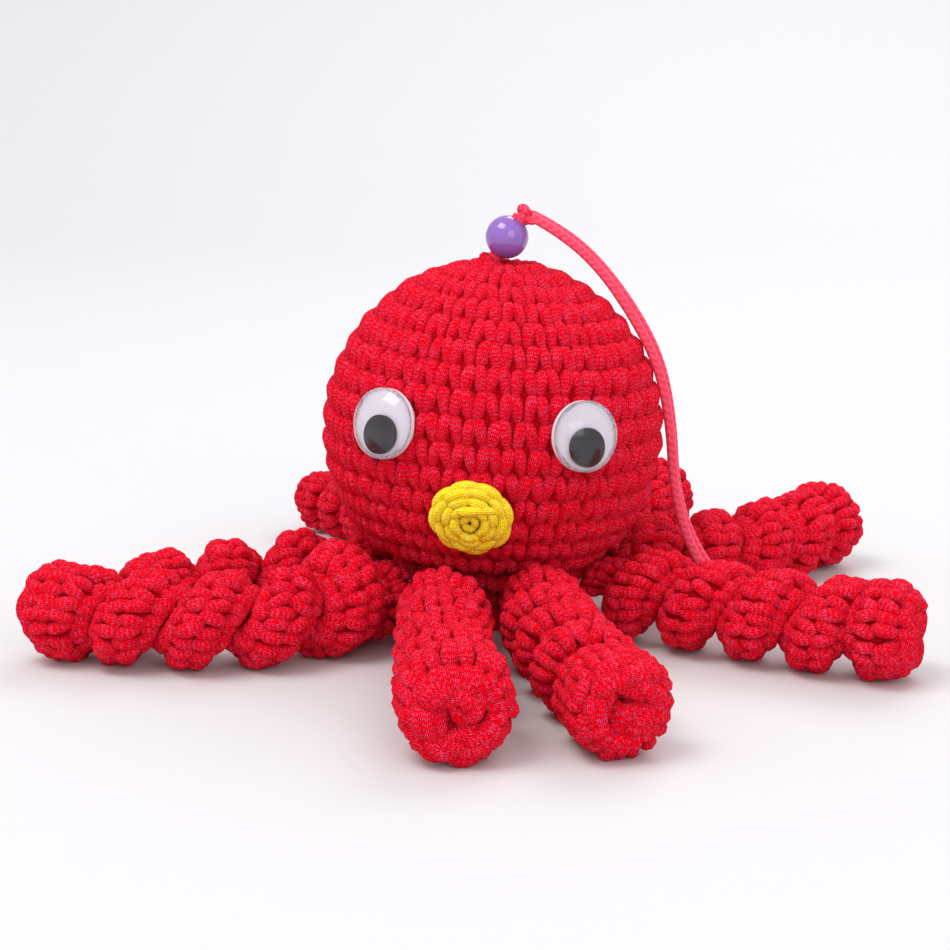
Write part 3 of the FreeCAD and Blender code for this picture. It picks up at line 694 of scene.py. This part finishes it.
mouth_parts = mouth_arcs(8, 5.75, 0.7, 0.95, 1.32, 0.1, 0.5)
mouth_parts += mouth_arcs(8, 5.05, 1.55, 0.92, 1.25, 0.45, 0.35)
mouth_parts += mouth_arcs(7, 3.75, 2.15, 0.92, 1.2, 0.2, 0.2)
mouth_parts += mouth_arcs(5, 2.45, 2.75, 0.86, 1.2, 0.9, 0.2)
mouth_parts += mouth_arcs(3, 1.0, 2.5, 0.74, 1.2, 0.3)
s = np.linspace(0, 1, 15)
crossing = on_mouth(-1.6 + 7.0 * s, 2.5 - 0.9 * s + 0.5 * np.sin(math.pi * s), 4.0 - 2.2 * s**1.5)[None]
fullness = plump(s, 0.4)[None] * 0.85
crossing_out = np.broadcast_to(mouth_out, crossing.shape)
mouth_parts.append((*yarn_strands(crossing, crossing_out, fullness, fullness, 10), 0))
# The disc under the strands takes the darker copy of the yellow yarn, painted shade between the strands.
disc = [(0.2, 0.0), (5.7, 0.0), (6.0, 0.8), (5.3, 1.7), (3.6, 2.4), (2.2, 2.7), (1.2, 2.3), (0.2, 2.1)]
vertices, quads, uvs = lathe(disc, 48, np.zeros(3), lean=False)
mouth_parts.append((on_mouth(vertices[:, 0], vertices[:, 1], vertices[:, 2]), quads, uvs, 1))
mouth = add_mesh("mouth_crochet", mouth_parts, [YELLOW, YELLOW_SHADED_CORE])
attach(mouth, "head")
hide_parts("mouth_rosette", "mouth_sewing_yarn")


# ---------------------------------------------------------------- knot above the bead
knot_low, knot_high = (np.array(v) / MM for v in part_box("top_knot"))
knot_middle = (knot_low + knot_high) / 2
KNOT_STRAND_RADIUS = 0.80
t = np.linspace(0, 2 * math.pi, 73)[:-1]
loop = np.stack([np.sin(t) + 1.6 * np.sin(2 * t), np.cos(t) - 1.6 * np.cos(2 * t), -1.1 * np.sin(3 * t)], -1)
loop = loop * np.array([0.62, 0.44, 0.60])
tilt = np.array([[0.743, 0.0, 0.669], [0.0, 1.0, 0.0], [-0.669, 0.0, 0.743]])
# The knot stands off the hinge of loop_swing, towards its place in the photo, so the cord's ends leave it as the
# loop swings up.
loop = loop[:, [0, 2, 1]] @ tilt.T + knot_middle + np.array([0.67, -0.5, -0.79])
loop = np.concatenate([loop, loop[:2]])[None]
radii = np.full((1, loop.shape[1]), KNOT_STRAND_RADIUS)
strand = yarn_strands(loop, unit(loop - knot_middle + 1e-6), radii, radii, 10)
knot = add_mesh("knot_cord", [(*strand, 0)], [CORD])
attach(knot, "head")
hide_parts("top_knot")


# ---------------------------------------------------------------- finishes of the kept CAD parts
def finish_node(node, material):
    thing = frame["nodes"][node]
    thing.data.materials.clear()
    thing.data.materials.append(material)
    for face in thing.data.polygons:
        face.material_index = 0


for side in ("left", "right"):
    finish_node(f"eye_{side}_glue", GLUE)
    finish_node(f"eye_{side}_back", EYE_WHITE)
    finish_node(f"eye_{side}_dome", DOME)
    finish_node(f"eye_{side}_pupil", PUPIL)
finish_node("bead", BEAD)
finish_node("cord_stem", CORD)
finish_node("stopper_knot", CORD)
finish_node("head_filling", FIBRE)


# ---------------------------------------------------------------- room and light
def room_material():
    made = Shader("pale_sweep", Roughness=0.7)
    place = made.node("ShaderNodeTexCoord").outputs["Object"]
    depth = made.node("ShaderNodeSeparateXYZ", place).outputs[1]
    cloud = made.math("MULTIPLY", made.noise(place, 3.0, 2), 0.12)
    away = made.math("ADD", made.math("MULTIPLY", depth, 0.6), cloud)
    made.feed("Base Color", made.ramp(away, (0.0, (0.640, 0.648, 0.640)), (0.6, (0.69, 0.70, 0.69))))
    return made.material


bend_steps = np.linspace(0, math.pi / 2, 16)
profile = [(-2.5, 0.0), (0.6, 0.0)]
profile += [(0.6 + 0.6 * math.sin(v), 0.6 - 0.6 * math.cos(v)) for v in bend_steps[1:]] + [(1.2, 3.0)]
corners = [(x, y, z) for y, z in profile for x in (-3.0, 3.0)]
sweep = bpy.data.meshes.new("sweep")
sweep.from_pydata(corners, [], [(2 * k, 2 * k + 1, 2 * k + 3, 2 * k + 2) for k in range(len(profile) - 1)])
for face in sweep.polygons:
    face.use_smooth = True
sweep.materials.append(room_material())
add_object("sweep", sweep)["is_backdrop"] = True


def soft_light(name, place, target, size, power, colour):
    light = bpy.data.lights.new(name, "AREA")
    light.shape = "RECTANGLE"
    light.size, light.size_y = size
    light.energy = power
    light.color = colour
    thing = add_object(name, light)
    thing.location = place
    aim(thing, target)


soft_light("key", (-0.35, -0.25, 0.85), (0, 0, 0.03), (0.55, 0.40), 4.1, (1.0, 0.985, 0.97))
soft_light("back", (0.30, 0.65, 0.75), (0, 0, 0.03), (0.7, 0.5), 3.5, (1.0, 0.98, 1.0))
soft_light("front", (0.45, -0.9, 0.45), (0, 0, 0.03), (0.6, 0.6), 2.2, (1.0, 0.98, 0.98))
world = bpy.data.worlds.new("room")
world.use_nodes = True
backing = world.node_tree.nodes["Background"]
backing.inputs["Color"].default_value = (0.95, 0.93, 1.0, 1)
backing.inputs["Strength"].default_value = 0.98
scene.world = world

low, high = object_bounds()
